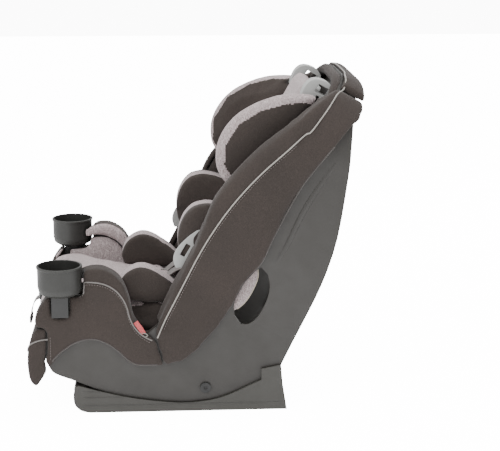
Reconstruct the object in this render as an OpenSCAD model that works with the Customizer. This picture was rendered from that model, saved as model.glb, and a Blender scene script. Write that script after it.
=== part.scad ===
// Convertible child car seat: a reclining bucket on a low base, with a sliding headrest.
// The front of the seat faces -Y, +X is the occupant's left and +Z is up.
// The origin is the centre of the flat underside of the base.

/* [Seat shell] */
// Width over the plastic side walls at the seat
shell_w = 380; // [330:5:460]
// How much each side wall spreads outwards up to the shoulders
shoulder_flare = 16; // [8:1:24]
// Length of the backrest along its lean
back_len = 530; // [480:5:640]
// Lean of the backrest from the vertical, in degrees
back_lean = 29.5; // [28:0.5:31]
// Distance from the origin to the front of the apron
seat_reach = 272; // [262:1:330]
// Thickness of the plastic walls
wall = 4; // [3:0.5:5]

/* [Base] */
// Distance from the origin to the tip of the nose
base_front = 193; // [185:1:230]
// Distance from the origin to the rear end
base_back = 196; // [192:1:230]
// Gap between the shell and each outer wall of the base
base_gap = 2; // [1.5:0.5:4]
// Radius of the recline pivot bolts
bolt_r = 7.5; // [6:0.5:9]
// Largest recline, in degrees
recline_max = 26; // [20:1:26]

/* [Headrest] */
// Width of the headrest over its wings
headrest_w = 316; // [280:2:320]
// Travel of the headrest along the backrest
headrest_travel = 110; // [80:5:110]
// Distance between the middles of the two belt guides
guide_pitch = 212; // [200:2:220]

/* [Cup holders] */
// Inner radius of a cup at its rim
cup_r = 37; // [34:0.5:39]
// Inside depth of a cup
cup_depth = 50; // [40:1:60]

/* [Harness] */
// Width of the webbing
web_w = 38; // [32:1:40]
// Distance from the middle of the seat to the middle of a shoulder strap
strap_x = 42; // [40:1:48]

/* [Soft parts] */
// Thickness of the cover outside the shell walls
cover_out = 13; // [10:1:16]
// Thickness of the padded cover inside the shell walls
cover_in = 24; // [20:1:26]

/* [Hidden] */

$fn = 48;
BROWN = [0.33, 0.29, 0.28];
HEATHER = [0.66, 0.6, 0.6];
SHELL_GREY = [0.38, 0.38, 0.35];
CUP_GREY = [0.3, 0.31, 0.29];
TRIM_GREY = [0.71, 0.71, 0.69];
WEBBING = [0.42, 0.38, 0.36];
STEEL = [0.62, 0.62, 0.64];
DARK = [0.16, 0.16, 0.16];

half_w = shell_w / 2;
shoulder_x = half_w + shoulder_flare;
top_r = 140;            // corner radius of the arch at the top of the backrest
fit = 0.05;             // radial clearance of a running fit
gap = 0.4;              // space between a soft part and what it lies against
far = 500;              // past everything, for cuts
hip = [-20, 175];       // Y and Z where the line of the backrest starts
pivot = [47, 43];       // Y and Z of the recline pivot
web_t = 78;             // depth of the back wall behind the line of the backrest
pad_t = 42;             // depth of the face of the backrest pad
head_t = 62;            // depth of the face of the thin pad behind the headrest

// --- Places and curves -------------------------------------------------------------

// A place s up the backrest and t behind its line, as Y and Z
function back(s, t) = [hip.x + s * sin(back_lean) + t * cos(back_lean),
                       hip.y + s * cos(back_lean) - t * sin(back_lean)];
// A place s below the top of the backrest and t behind its line
function top(s, t) = back(back_len - s, t);
// A place y behind the front of the apron, at height z
function front(y, z) = [y - seat_reach, z];

function through(a, b, c, d, u) = 0.5 * (2 * b + (c - a) * u
    + (2 * a - 5 * b + 4 * c - d) * u * u + (3 * b - a - 3 * c + d) * u * u * u);
// A smooth curve through the points p, with n steps from each point to the next
function smooth(p, n = 3) = [for (i = [0:len(p) - 2], j = [0:n - 1])
        through(p[max(i - 1, 0)], p[i], p[i + 1], p[min(i + 2, len(p) - 1)], j / n), p[len(p) - 1]];
function reverse(p) = [for (i = [len(p) - 1:-1:0]) p[i]];
function arc(c, r, from, to, n = 8) = [for (i = [0:n])
        let (a = from + (to - from) * i / n) [c.x + r * cos(a), c.y + r * sin(a)]];

// --- Shared shapes -----------------------------------------------------------------

// Extrudes a side view, drawn in Y and Z, from x0 to x1
module slab(x0, x1) translate([x0, 0, 0]) rotate([90, 0, 90]) linear_extrude(x1 - x0) children();
// Turns the space so that Z runs up the backrest and Y runs backwards from its line
module in_back() translate([0, hip.x, hip.y]) rotate([-back_lean, 0, 0]) children();
// Extrudes a front view, drawn in X and Z, from y0 to y1
module panel(y0, y1) translate([0, y1, 0]) rotate([90, 0, 0]) linear_extrude(y1 - y0) children();
module on_side(side) mirror([side < 0 ? 1 : 0, 0, 0]) children();
module on_both_sides() for (side = [-1, 1]) on_side(side) children();
module block(x0, x1, y0, y1, z0, z1) translate([x0, y0, z0]) cube([x1 - x0, y1 - y0, z1 - z0]);
// A bar along X between x0 and x1
module rod(x0, x1, r, y, z) translate([x0, y, z]) rotate([0, 90, 0]) cylinder(r = r, h = x1 - x0);
// A rectangle with rounded corners, in the middle of the plane
module rounded(w, h, r) {
    square([w - 2 * r, h], center = true);
    square([w, h - 2 * r], center = true);
    for (x = [-1, 1], y = [-1, 1]) translate([x * (w / 2 - r), y * (h / 2 - r)]) circle(r);
}

// The front view of the bucket, grown by g: straight at the seat, wider at the shoulders, arched on top
function bucket_half(g) = concat([[half_w + g, -far], [half_w + g, 67], [shoulder_x + g, 209]],
    arc([shoulder_x - top_r, back_len - top_r], top_r + g, 0, 90));
module bucket(g) in_back() panel(-far, far) {
    polygon(concat(bucket_half(g), [for (p = reverse(bucket_half(g))) [-p.x, p.y]]));
}

// --- Side views --------------------------------------------------------------------

rocker = smooth([front(37, 86), front(47, 74), [-185, 58], [-135, 38], [-77, 25], [0, 16],
    [55, 20], [92, 31], [129, 48], [149, 56]]);
rear_edge = smooth([[185, 82], back(110, 218), back(191, 210), back(278, 192), back(386, 152),
    top(93, 130), top(50, 112)]);
// The free edge of a side wall, g inside it: down the backrest, then forwards over the thigh
function wall_edge(g) = concat(
    smooth([top(46, 62 + g), top(84, 40 + g), top(121, 24 + g), back(352, g), back(278, g - 20),
        back(224, g - 26), back(135, g - 15), back(60, g - 11), back(-14, g - 8)]),
    smooth([[-58, 146 - g], [-80 - g / 2, 158 - g], [-95 - g, 180 - g / 2], [-103 - g, 208 - g / 2],
        [-120 - g / 2, 232 - g], front(122, 246 - g), front(82, 240 - g), front(42 + g / 2, 216 - g),
        front(24 + g, 180 - g / 2), front(20 + g, 150), front(28 + g, 112)]));
shell_side = concat(rocker, rear_edge, [top(0, 98), top(0, 72)], wall_edge(0));

// The middle web of the shell: front wall, seat pan and back wall, d behind its face
function web_line(d) = smooth([front(38 + d, 86), front(30 + d, 112), front(23 + d, 150),
    front(34 + d / 2, 174 - d), front(110, 168 - d), [-60, 140 - d], [0, 127 - d],
    back(-18 - d, web_t - 4 + d / 2), back(20, web_t + d), back(200, web_t + d), top(0, web_t + d)]);

hem_front = smooth([[-28, 88], [-72, 87], [-92, 95], [-111, 115], [-135, 132], [-160, 139],
    front(83, 131), front(57, 111), front(37, 86)]);
hem_back = smooth([[-28, 88], [4, 95], back(-34, 72), back(6, 82), back(42, 88), back(80, 90),
    back(132, 87), back(172, 97), back(224, 91), back(318, 88), top(81, 112), top(50, 124)]);
crest_back = smooth([top(22, 66), top(46, 49), top(84, 28), top(121, 12), back(352, -12), back(278, -32),
    back(224, -38), back(135, -27), back(60, -23), back(-18, -14), [-42, 138]]);
back_cover_side = concat(hem_back, [top(22, 122)], crest_back);
crest_thigh = smooth([[-42, 137], [-62, 150], [-76, 165], [-86, 188], [-91, 220], [-106, 252], [-136, 271],
    front(102, 268), front(66, 246), front(31, 214), front(14, 184), front(13, 164)]);
seam_front = [front(30, 100), front(34, 124), front(34, 162)];
thigh_side = concat(reverse(crest_thigh), hem_front, seam_front);

opening_front = smooth([back(166, 99), back(140, 89), back(110, 88), back(82, 91), back(62, 104)]);
opening_rear = smooth([back(54, 120), back(60, 133), back(80, 141), back(112, 140), back(140, 132),
    back(160, 116)]);

// --- Base --------------------------------------------------------------------------

tray_x = half_w + base_gap;     // inner face of the tray's side walls
lug_x = half_w - wall - 2;      // outer face of the pivot lugs
lug_t = 5;

module base_side() polygon(concat(
    [[base_back, 0], [base_back - 8, 50], [base_back - 11, 85], [base_back - 47, 78], [149, 57]],
    reverse(smooth([[-184, 52], [-135, 38], [-77, 25], [0, 16], [55, 20], [92, 31], [129, 48], [149, 57]])),
    smooth([[4 - base_front, 50], [-base_front, 36], [2 - base_front, 16], [14 - base_front, 4],
        [30 - base_front, 0]])));

module base_tray() color(SHELL_GREY) {
    difference() {
        union() {
            on_both_sides() slab(tray_x, tray_x + wall) base_side();
            // Floor and rounded nose between the side walls
            intersection() {
                slab(-tray_x, tray_x) base_side();
                union() {
                    block(-far, far, -far, base_back - 1, 0, wall);
                    block(-far, far, -far, 18 - base_front, 0, 49);
                    block(-far, far, base_back - 1 - wall, base_back - 1, 0, 12);
                }
            }
        }
        block(-tray_x + wall, tray_x - wall, wall - base_front, 14 - base_front, wall, 44);
    }
    // Upright lugs for the recline pivot
    on_both_sides() slab(lug_x - lug_t, lug_x) difference() {
        union() {
            translate(pivot) circle(16);
            translate([pivot.x - 16, 1]) square([32, pivot.y - 1]);
        }
        translate(pivot) circle(bolt_r - 2.5 + fit);
    }
    // Cross ribs on the floor
    for (y = [-60, 20, 100]) block(1 - tray_x, tray_x - 1, y, y + 3, wall - 1, 8);
}

module pivot_bolts() color(STEEL) on_both_sides() {
    rod(lug_x, half_w, bolt_r, pivot.x, pivot.y);
    difference() {
        rod(half_w + 0.4, half_w + 4, bolt_r + 2.5, pivot.x, pivot.y);
        rod(half_w + 2.4, half_w + 5, 3, pivot.x, pivot.y);
    }
    rod(half_w - 1, half_w + 1, bolt_r, pivot.x, pivot.y);
    rod(lug_x - lug_t - 9, lug_x + 1, bolt_r - 2.5, pivot.x, pivot.y);
}
module pivot_nuts() color(STEEL) on_both_sides() difference() {
    translate([lug_x - lug_t - 7, pivot.x, pivot.y]) rotate([0, 90, 0]) cylinder(r = 9, h = 7, $fn = 6);
    rod(lug_x - lug_t - 8, lug_x, bolt_r - 2.5, pivot.x, pivot.y);
}

bar = [-150, 60];       // Y and Z of the recline latch bar
bar_r = 5;
bar_reach = norm(bar - pivot);  // from the pivot to the bar, and the angle that it is at
bar_angle = atan2(bar.y - pivot.y, bar.x - pivot.x);
rack_x = 70;                    // middle of a rack's thickness
rack_t = 6;
rack_r = bar_reach - bar_r - 0.8;
module recline_racks() color(STEEL) on_both_sides() slab(rack_x - rack_t / 2, rack_x + rack_t / 2)
    difference() {
        polygon(concat([[-158, wall]], arc(pivot, rack_r, bar_angle + 8, bar_angle - recline_max - 2, 16),
            arc(pivot, rack_r - 24, bar_angle - recline_max - 2, bar_angle + 8, 10), [[-105, wall]]));
        for (a = [0, 0.6, 1]) translate(pivot + (rack_r + 1) * [cos(bar_angle - a * recline_max),
            sin(bar_angle - a * recline_max)]) circle(bar_r + 1);
    }
module rack_screws() color(STEEL) on_both_sides() for (y = [-158, -120]) {
    rod(rack_x - rack_t / 2 - 4, rack_x - rack_t / 2, 4, y, 12);
}

// --- Shell -------------------------------------------------------------------------

arm_x = 100;                    // arms of the headrest, through slots in the back wall
arm_w = 8;
arm_s = back_len - 205;
arm_h = 50;
shoulder_s = back_len - 146;    // height of the slots for the shoulder straps

module seat_shell() color(SHELL_GREY) difference() {
    union() {
        intersection() {
            slab(-far, far) polygon(shell_side);
            difference() {
                bucket(0);
                bucket(-wall);
            }
        }
        intersection() {
            slab(-far, far) polygon(concat(web_line(0), reverse(web_line(wall))));
            bucket(-wall / 2);
        }
        // In-turned flange down the rear edge
        intersection() {
            slab(-far, far) polygon(concat(rear_edge, reverse([for (p = rear_edge) p - [3, 1]])));
            difference() {
                bucket(-wall / 2);
                bucket(-wall - 14);
            }
        }
        // Upright ribs behind the back wall
        for (x = [-132, 132]) intersection() {
            slab(x - 1.5, x + 1.5) polygon(concat([back(212, web_t + 2), back(212, web_t + 14)],
                smooth([back(230, web_t + 40), back(330, web_t + 34), top(90, web_t + 22),
                    top(40, web_t + 6)]),
                [top(40, web_t + 2)]));
            bucket(-wall);
        }
        on_both_sides() rod(half_w - wall - 1.5, half_w - 1, bolt_r + 6, pivot.x, pivot.y);
    }
    on_both_sides() {
        slab(half_w - 40, half_w + 40) polygon(concat(opening_front, opening_rear));
        rod(half_w - wall - 5, half_w + 5, bolt_r + fit, pivot.x, pivot.y);
        in_back() {
            block(arm_x - arm_w / 2 - 1.5, arm_x + arm_w / 2 + 1.5, web_t - 5, web_t + 9,
                arm_s - 4, arm_s + arm_h + headrest_travel + 4);
            block(strap_x - web_w / 2 - 3, strap_x + web_w / 2 + 3, web_t - 5, web_t + 9,
                shoulder_s - 6, shoulder_s + 6);
        }
        bracket_core(0);
        cup_space();
    }
    // Slots for the crotch strap and for the adjuster strap
    block(-web_w / 2 - 2, web_w / 2 + 2, -100, -92, 120, 190);
    slab(-adjuster_w / 2, adjuster_w / 2) translate(front(22, 172)) square([27, 21], center = true);
}

// --- Soft covers -------------------------------------------------------------------

// A cover with the side view given by the child, outside one side wall and rolled over its free edge
module wrap(side, roll) difference() {
    intersection() {
        on_side(side) slab(half_w - 90, far) children();
        difference() {
            bucket(cover_out);
            bucket(-roll);
        }
    }
    intersection() {
        slab(-far, far) polygon(concat([[40, -far], [far, -far], back(back_len + 60, far)],
            [top(-40, 72 - gap)], wall_edge(-gap), [front(34, 90), front(40, -40)]));
        bucket(gap);
    }
}
module back_cover(side) color(BROWN) difference() {
    wrap(side, cover_in) polygon(back_cover_side);
    crown_space(gap);
}
module back_cover_left() back_cover(1);
module back_cover_right() back_cover(-1);

crown_x = shoulder_x - 60;      // half the width of the crown, which joins the two back covers
module crown_space(g) in_back()
    block(-crown_x - g, crown_x + g, -far, far, back_len - 70, back_len + 60);
module crown_cover() color(BROWN) difference() {
    intersection() {
        slab(-far, far) polygon(concat([top(48, 72), top(-2, 72)],
            smooth([top(-8, 82), top(-8, 98), top(0, 112), top(22, 122), top(48, 119), top(74, 109)]),
            [top(62, 84), top(48, 84)]));
        crown_space(0);
        bucket(cover_out);
    }
    intersection() {
        slab(-far, far) polygon(concat([top(100, 160), top(30, 128), top(-gap, 102), top(-gap, 70)],
            [top(100, 40)]));
        bucket(gap);
    }
}

module thigh_bolster(side) color(BROWN) difference() {
    wrap(side, cover_in + 6) polygon(thigh_side);
    on_side(side) bracket_core(gap);
    on_side(side) cup_space();
}
module thigh_bolster_left() thigh_bolster(1);
module thigh_bolster_right() thigh_bolster(-1);

// Foam inside a side wall, from the seat pan up to the shoulder
foam_side = concat([for (p = web_line(-gap)) if (p.x > 46 - seat_reach) p],
    [for (p = wall_edge(gap)) if (p.x > 46 - seat_reach) p]);
module side_foam(side) color(DARK) difference() {
    intersection() {
        on_side(side) slab(half_w - 90, far) polygon(foam_side);
        difference() {
            bucket(-wall - gap);
            bucket(-cover_in);
        }
    }
    on_side(side) bracket_core(gap);
    on_side(side) cup_space();
    in_back() block(-far, far, -far, far, back_len - 74, far + back_len);
}
module side_foam_left() side_foam(1);
module side_foam_right() side_foam(-1);

apron_x = half_w + cover_out;   // outer side of the apron, level with the thigh covers
apron_face = smooth([front(14, 50), front(4, 60), front(0, 78), front(-1, 104), front(3, 132),
    front(10, 152), front(16, 161)]);
module front_apron() color(BROWN) {
    slab(-apron_x, apron_x) polygon(concat(apron_face,
        smooth([front(18, 158), front(18, 148), front(24, 112), front(24, 84), front(14, 50)])));
    // Returns round the corners to the seam with the thigh covers
    on_both_sides() slab(half_w + gap, apron_x) polygon(concat(apron_face,
        [front(34 - gap, 161), front(34 - gap, 124), front(30 - gap, 100), front(36, 82), front(24, 64)]));
}

cushion_x = half_w - cover_in - 7;      // side of the cushion, against the thigh bolsters
cushion_top = smooth([back(4, 36), [-20, 190], [-80, 192], front(110, 204), front(60, 212), front(28, 206),
    front(16, 186)]);
cushion_under = [for (p = web_line(-gap)) if (p.x > 34 - seat_reach && p.x < 10 && p.y > 120) p];
module seat_cushion() color(HEATHER) difference() {
    slab(-cushion_x, cushion_x) polygon(concat(cushion_top, cushion_under));
    block(-web_w / 2 - 2, web_w / 2 + 2, -101, -90, 100, 250);
    slab(-adjuster_w / 2 - 1, adjuster_w / 2 + 1) translate(front(20, 170)) square(40, center = true);
}

module backrest_pad() color(HEATHER) intersection() {
    in_back() difference() {
        union() {
            block(-far, far, pad_t, web_t - 0.3, 14, back_len - 268);
            block(-far, far, head_t, web_t - 0.3, back_len - 269, back_len - 62);
        }
        on_both_sides() {
            block(arm_x - arm_w / 2 - 1.5, arm_x + arm_w / 2 + 1.5, 0, far,
                arm_s - 4, arm_s + arm_h + headrest_travel + 4);
            block(strap_x - web_w / 2 - 3, strap_x + web_w / 2 + 3, 0, far, shoulder_s - 6, shoulder_s + 6);
        }
    }
    bucket(-cover_in - 0.5);
}

hip_side = smooth([[-106, 200], [-111, 222], [-98, 248], [-74, 261], [-50, 257], [-28, 243], [-4, 224],
    back(26, 40)]);
module hip_bolster(side) color(BROWN) on_side(side)
    slab(cushion_x - 56, cushion_x - 1) polygon(concat(hip_side, [[-14, 195], [-60, 195]]));
module hip_bolster_left() hip_bolster(1);
module hip_bolster_right() hip_bolster(-1);

torso_x = shoulder_x - cover_in - 4;    // outer face of a torso bolster
torso_side = smooth([[pad_t - 0.3, 96], [0, 92], [-34, 108], [-56, 140], [-63, 176], [-52, 204], [-20, 222],
    [20, 226], [pad_t - 0.3, 226]]);
module torso_bolster(side) color(BROWN) intersection() {
    in_back() on_side(side) slab(torso_x - 62, torso_x) polygon(torso_side);
    bucket(-cover_in - 5);
}
module torso_bolster_left() torso_bolster(1);
module torso_bolster_right() torso_bolster(-1);

module belt_path_roll(side) color(HEATHER) in_back() on_side(side)
    slab(half_w - 58, half_w - wall - 0.3) polygon(smooth([[web_t + wall + 1, 64], [100, 68], [109, 90],
        [110, 120], [104, 150], [web_t + wall + 1, 166]]));
module belt_path_roll_left() belt_path_roll(1);
module belt_path_roll_right() belt_path_roll(-1);

module belt_path_tag(side) color([0.8, 0.2, 0.25]) on_side(side)
    slab(half_w + 0.2, half_w + 1.2) polygon([[-74, 178], [-62, 172], [-56, 154], [-66, 158]]);
module belt_path_tag_left() belt_path_tag(1);
module belt_path_tag_right() belt_path_tag(-1);

holder_side = smooth([[-30, 84], [-42, 96], [-46, 116], [-40, 144], [-28, 170], [-20, 156], [-15, 130],
    [-15, 104], [-21, 90], [-30, 84]]);
module harness_holder(side) color(TRIM_GREY) difference() {
    intersection() {
        on_side(side) in_back() slab(0, far) polygon(holder_side);
        difference() {
            bucket(-cover_in - 1);
            bucket(-cover_in - 4);
        }
    }
    in_back() slab(-far, far) translate([-31, 122]) square([9, 24], center = true);
}
module harness_holder_left() harness_holder(1);
module harness_holder_right() harness_holder(-1);

// --- Harness -----------------------------------------------------------------------

adjuster_w = 54;
buckle = [-63, 206];    // Y and Z of the middle of the buckle
buckle_lean = -86;      // it lies back on the cushion, with its button up

// A straight run of webbing, w wide, from a to b
module ribbon(a, b, w) hull() {
    translate(a) cube([w, 1.6, 1.6], center = true);
    translate(b) cube([w, 1.6, 1.6], center = true);
}
function at(x, p) = [x, p.x, p.y];
strap_t = pad_t - 1.4;  // depth of the middle of the webbing over the backrest pad
module harness_strap(side) color(WEBBING) on_side(side) {
    slot = at(strap_x, back(shoulder_s, head_t - 1.4));
    ledge = at(strap_x, back(back_len - 262, head_t - 1.4));
    chest = at(strap_x, back(back_len - 265, strap_t));
    waist = at(strap_x, back(108, strap_t));
    ribbon(at(strap_x, back(shoulder_s, web_t + 3)), slot, web_w);
    ribbon(slot, ledge, web_w);
    ribbon(ledge, chest, web_w);
    ribbon(chest, waist, web_w);
    tongue = at(20, buckle + 38 * [-sin(buckle_lean), cos(buckle_lean)]);
    ribbon(waist, tongue, web_w - 6);
    ribbon(tongue, at(cushion_x - 76, back(22, 38)), web_w - 10);
}
module harness_strap_left() harness_strap(1);
module harness_strap_right() harness_strap(-1);

module harness_pad(side) color(BROWN) on_side(side) in_back() difference() {
    translate([strap_x, strap_t - 0.5, 218]) linear_extrude(40) rounded(web_w + 10, 11, 4);
    block(0, far, strap_t - 1.2, far, 200, 300);
}
module harness_pad_left() harness_pad(1);
module harness_pad_right() harness_pad(-1);

module chest_clip() color(DARK) in_back() difference() {
    translate([0, 0, 178]) panel(strap_t - 9, strap_t + 1) rounded(2 * strap_x + web_w + 8, 40, 8);
    on_both_sides() block(strap_x - web_w / 2 - 0.6, strap_x + web_w / 2 + 0.6, strap_t - 1.4,
        far, 0, 300);
    block(-far, far, strap_t - 1.4, far, 0, 300);
    block(-0.5, 0.5, strap_t - 10, strap_t - 6, 0, 300);
}

// Turns the space so that Z runs from the crotch strap to the tongues and -Y is the button's face
module at_buckle() translate([0, buckle.x, buckle.y]) rotate([buckle_lean, 0, 0]) children();
module crotch_strap() color(WEBBING) {
    block(-web_w / 2 + 2, web_w / 2 - 2, -97, -95, 149, 198);
    ribbon(at(0, [-96, 198]), at(0, buckle + 23 * [sin(buckle_lean), -cos(buckle_lean)]), web_w - 4);
}
module buckle_housing() color(DARK) at_buckle() difference() {
    translate([0, 0, -22]) linear_extrude(46) rounded(52, 22, 8);
    block(-13, 13, -20, -4, -6, 12);
    block(-20, 20, -3, 3, 10, 60);
}
module buckle_button() color([0.75, 0.12, 0.12]) at_buckle() block(-12.6, 12.6, -12.5, -9, -5.6, 11.6);
module buckle_tongue(side) color(STEEL) on_side(side) at_buckle() difference() {
    block(0.5, 19.5, -1.2, 1.2, 10.5, 34);
    block(5, 15, -5, 5, 26.5, 30);
}
module buckle_tongue_left() buckle_tongue(1);
module buckle_tongue_right() buckle_tongue(-1);

module splitter_plate() color(STEEL) in_back() difference() {
    translate([0, 0, 235]) panel(web_t + wall + 9, web_t + wall + 12)
        rounded(2 * strap_x + web_w + 10, 34, 6);
    translate([0, 0, 224]) panel(0, far) square([web_w + 4, 5], center = true);
    on_both_sides() translate([strap_x, 0, 246]) panel(0, far) square([web_w - 4, 5], center = true);
}
// Webbing behind the shell: two runs from the shoulders to the splitter, one run on to the adjuster
module rear_strap() color(WEBBING) {
    on_both_sides() ribbon(at(strap_x, back(shoulder_s, web_t + 6)),
        at(strap_x, back(252, web_t + wall + 7.5)), web_w);
    ribbon(at(0, back(222, web_t + wall + 7.5)), at(0, back(160, web_t + wall + 2)), web_w);
    intersection() {
        slab(-web_w / 2, web_w / 2) polygon(concat(web_line(wall + 1), reverse(web_line(wall + 2.6))));
        slab(-far, far) polygon([front(40, 150), front(40, 100), [60, -20], back(160, 200), back(160, 60),
            [30, 170]]);
    }
}

module adjuster_housing() color(DARK) difference() {
    slab(-adjuster_w / 2 + 0.5, adjuster_w / 2 - 0.5) translate(front(22, 172))
        square([26, 20], center = true);
    slab(-adjuster_w / 2 + 6, adjuster_w / 2 - 6) translate(front(11, 176)) square([22, 8], center = true);
    slab(-web_w / 2 - 1, web_w / 2 + 1) translate(front(22, 166)) square([30, 4], center = true);
}
module adjuster_button() color(TRIM_GREY)
    slab(-adjuster_w / 2 + 6.4, adjuster_w / 2 - 6.4) translate(front(10.5, 176))
        square([9, 7.2], center = true);
module adjuster_strap() color(WEBBING) {
    ribbon(at(0, front(14, 166)), at(0, front(3, 165)), web_w - 8);
    ribbon(at(0, front(3, 165)), at(0, front(-8, 146)), web_w - 8);
    ribbon(at(0, front(-8, 146)), at(0, front(-11, 132)), web_w - 8);
}
module adjuster_strap_end() color(DARK)
    slab(-web_w / 2 + 1, web_w / 2 - 1) translate(front(-10.5, 125)) square([4, 12], center = true);

// --- Cup holders -------------------------------------------------------------------

cup = [half_w + 4, 60 - seat_reach, 224];   // middle of the underside of a cup
peg_r = 10;
module bracket_core(g) translate([cup.x - 18 - g, cup.y - 15 - g, cup.z - 40 - g])
    cube([31 + 2 * g, 30 + 2 * g, 38 + g]);
// The room that a cup holder needs to lift off its bracket
module cup_space() translate(cup - [0, 0, 2.5]) cylinder(r = cup_r + 5, h = 200);
module cup_bracket(side) color(CUP_GREY) on_side(side) difference() {
    bracket_core(0);
    translate([cup.x, cup.y, cup.z - 20]) cylinder(r = peg_r + fit, h = 40);
}
module cup_bracket_left() cup_bracket(1);
module cup_bracket_right() cup_bracket(-1);
module cup_holder(side) color(CUP_GREY) on_side(side) translate(cup) difference() {
    union() {
        cylinder(r1 = cup_r - 9, r2 = cup_r, h = 6);
        translate([0, 0, 6]) cylinder(r1 = cup_r, r2 = cup_r + 2.5, h = 10);
        translate([0, 0, 16]) cylinder(r = cup_r + 2.5, h = cup_depth - 12);
        translate([0, 0, cup_depth]) cylinder(r = cup_r + 4, h = 4);
        translate([0, 0, -16]) cylinder(r = peg_r, h = 17);
    }
    translate([0, 0, 4]) cylinder(r1 = cup_r - 10, r2 = cup_r, h = 12);
    translate([0, 0, 15.99]) cylinder(r = cup_r, h = cup_depth);
}
module cup_holder_left() cup_holder(1);
module cup_holder_right() cup_holder(-1);

// --- Recline release ---------------------------------------------------------------

module recline_handle() color(TRIM_GREY) {
    translate([0, 47 - seat_reach, 62]) linear_extrude(9) rounded(120, 24, 8);
    on_both_sides() slab(47, 53) difference() {
        polygon([[50 - seat_reach, 62], [bar.x - 7, 54], [bar.x + 7, 54], [bar.x + 7, 67],
            [bar.x - 7, 67], [50 - seat_reach, 70]]);
        translate(bar) circle(bar_r + fit);
    }
}
module recline_latch_bar() color(STEEL) rod(-85, 85, bar_r, bar.x, bar.y);

// --- Headrest ----------------------------------------------------------------------

head_s = back_len - 262;     // lower edge of the headrest
plate_t = 44;                // depth of the face of the headrest plate
rod_t = web_t + wall + 12.8;  // depth of the lock rod, just clear of the rack teeth
rod_pull = 6;                // distance that the lever draws the rod back

module headrest_racks() color(TRIM_GREY) in_back() on_both_sides() difference() {
    block(76, 84, web_t + wall, web_t + wall + 8, arm_s, arm_s + arm_h + headrest_travel);
    for (i = [0:5]) translate([70, rod_t, arm_s + arm_h / 2 + i * headrest_travel / 5])
        rotate([0, 90, 0]) cylinder(r = 8, h = 20);
}
module headrest_frame() color(SHELL_GREY) in_back() difference() {
    union() {
        translate([0, 0, head_s + 102]) panel(plate_t, plate_t + 6) rounded(2 * arm_x + 36, 200, 20);
        on_both_sides() block(arm_x - arm_w / 2, arm_x + arm_w / 2, plate_t + 5, rod_t + 18,
            arm_s, arm_s + arm_h);
        on_both_sides() block(guide_pitch / 2 - 12, guide_pitch / 2 + 8, plate_t, plate_t + 6,
            head_s + 180, head_s + 208);
    }
    on_both_sides() block(arm_x - 10, arm_x + 10, rod_t - 4.2, rod_t + rod_pull + 4.2,
        arm_s + arm_h / 2 - 4.1, arm_s + arm_h / 2 + 4.1);
}
module headrest_lock_rod() color(STEEL) in_back()
    rod(-arm_x - 12, arm_x + 12, 4, rod_t, arm_s + arm_h / 2);
module headrest_lever() color(TRIM_GREY) in_back() difference() {
    translate([0, 0, head_s + 206]) panel(plate_t + 6.4, plate_t + 14) rounded(80, 26, 8);
    translate([0, 0, head_s + 206]) panel(0, far) rounded(50, 10, 4);
}
wing_x = headrest_w / 2;
module headrest_pad() color(HEATHER) in_back()
    intersection() {
        panel(20, plate_t - 0.3) translate([0, head_s + 112]) rounded(2 * wing_x - 136, 224, 30);
        block(-far, far, 0, far, head_s, head_s + 224);
    }
wing_side = smooth([[plate_t - 0.3, head_s + 2], [10, head_s - 6], [-22, head_s - 8], [-56, head_s + 12],
    [-75, head_s + 52], [-72, head_s + 104], [-47, head_s + 148], [-12, head_s + 182], [24, head_s + 204],
    [plate_t - 0.3, head_s + 208]], 4);
module headrest_wing(side) color(BROWN) in_back() on_side(side) difference() {
    intersection() {
        slab(0, far) polygon(wing_side);
        linear_extrude(far + back_len) polygon(concat(
            smooth([[wing_x - 66, plate_t - 0.3], [wing_x - 66, 26], [wing_x - 44, -10], [wing_x - 30, -50],
                [wing_x - 22, -80]]),
            smooth([[wing_x, -80], [wing_x + 1, -50], [wing_x - 3, 0], [wing_x - 12, plate_t - 0.3]])));
    }
    block(guide_pitch / 2 - 16, guide_pitch / 2 + 16, 15, far, head_s + 186, far + back_len);
}
module headrest_wing_left() headrest_wing(1);
module headrest_wing_right() headrest_wing(-1);

module belt_guide(side) color(TRIM_GREY) in_back() on_side(side)
    translate([guide_pitch / 2, 0, head_s + 236]) difference() {
        slab(-15, 15) polygon(smooth([[20, -48], [17, -24], [22, -8], [34, 0], [52, 2], [67, -6],
            [66, -22], [52, -30]], 4));
        slab(-16, 16) polygon([[37, -23], [38, -8], [62, -8], [61, -21]]);
        block(-40, 40, plate_t - 0.2, plate_t + 6.2, -60, -27.8);
    }
module belt_guide_left() belt_guide(1);
module belt_guide_right() belt_guide(-1);

base_tray();
pivot_bolts();
pivot_nuts();
recline_racks();
rack_screws();
seat_shell();
back_cover_left();
back_cover_right();
crown_cover();
thigh_bolster_left();
thigh_bolster_right();
side_foam_left();
side_foam_right();
front_apron();
seat_cushion();
backrest_pad();
hip_bolster_left();
hip_bolster_right();
torso_bolster_left();
torso_bolster_right();
belt_path_roll_left();
belt_path_roll_right();
belt_path_tag_left();
belt_path_tag_right();
harness_holder_left();
harness_holder_right();
headrest_racks();
harness_strap_left();
harness_strap_right();
harness_pad_left();
harness_pad_right();
crotch_strap();
buckle_housing();
buckle_tongue_left();
buckle_tongue_right();
buckle_button();
chest_clip();
splitter_plate();
rear_strap();
adjuster_housing();
adjuster_button();
adjuster_strap();
adjuster_strap_end();
cup_bracket_left();
cup_bracket_right();
cup_holder_left();
cup_holder_right();
recline_handle();
recline_latch_bar();
headrest_frame();
headrest_pad();
headrest_wing_left();
headrest_wing_right();
belt_guide_left();
belt_guide_right();
headrest_lever();
headrest_lock_rod();
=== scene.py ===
import math
import bpy
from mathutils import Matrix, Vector
from mathutils.bvhtree import BVHTree


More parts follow.
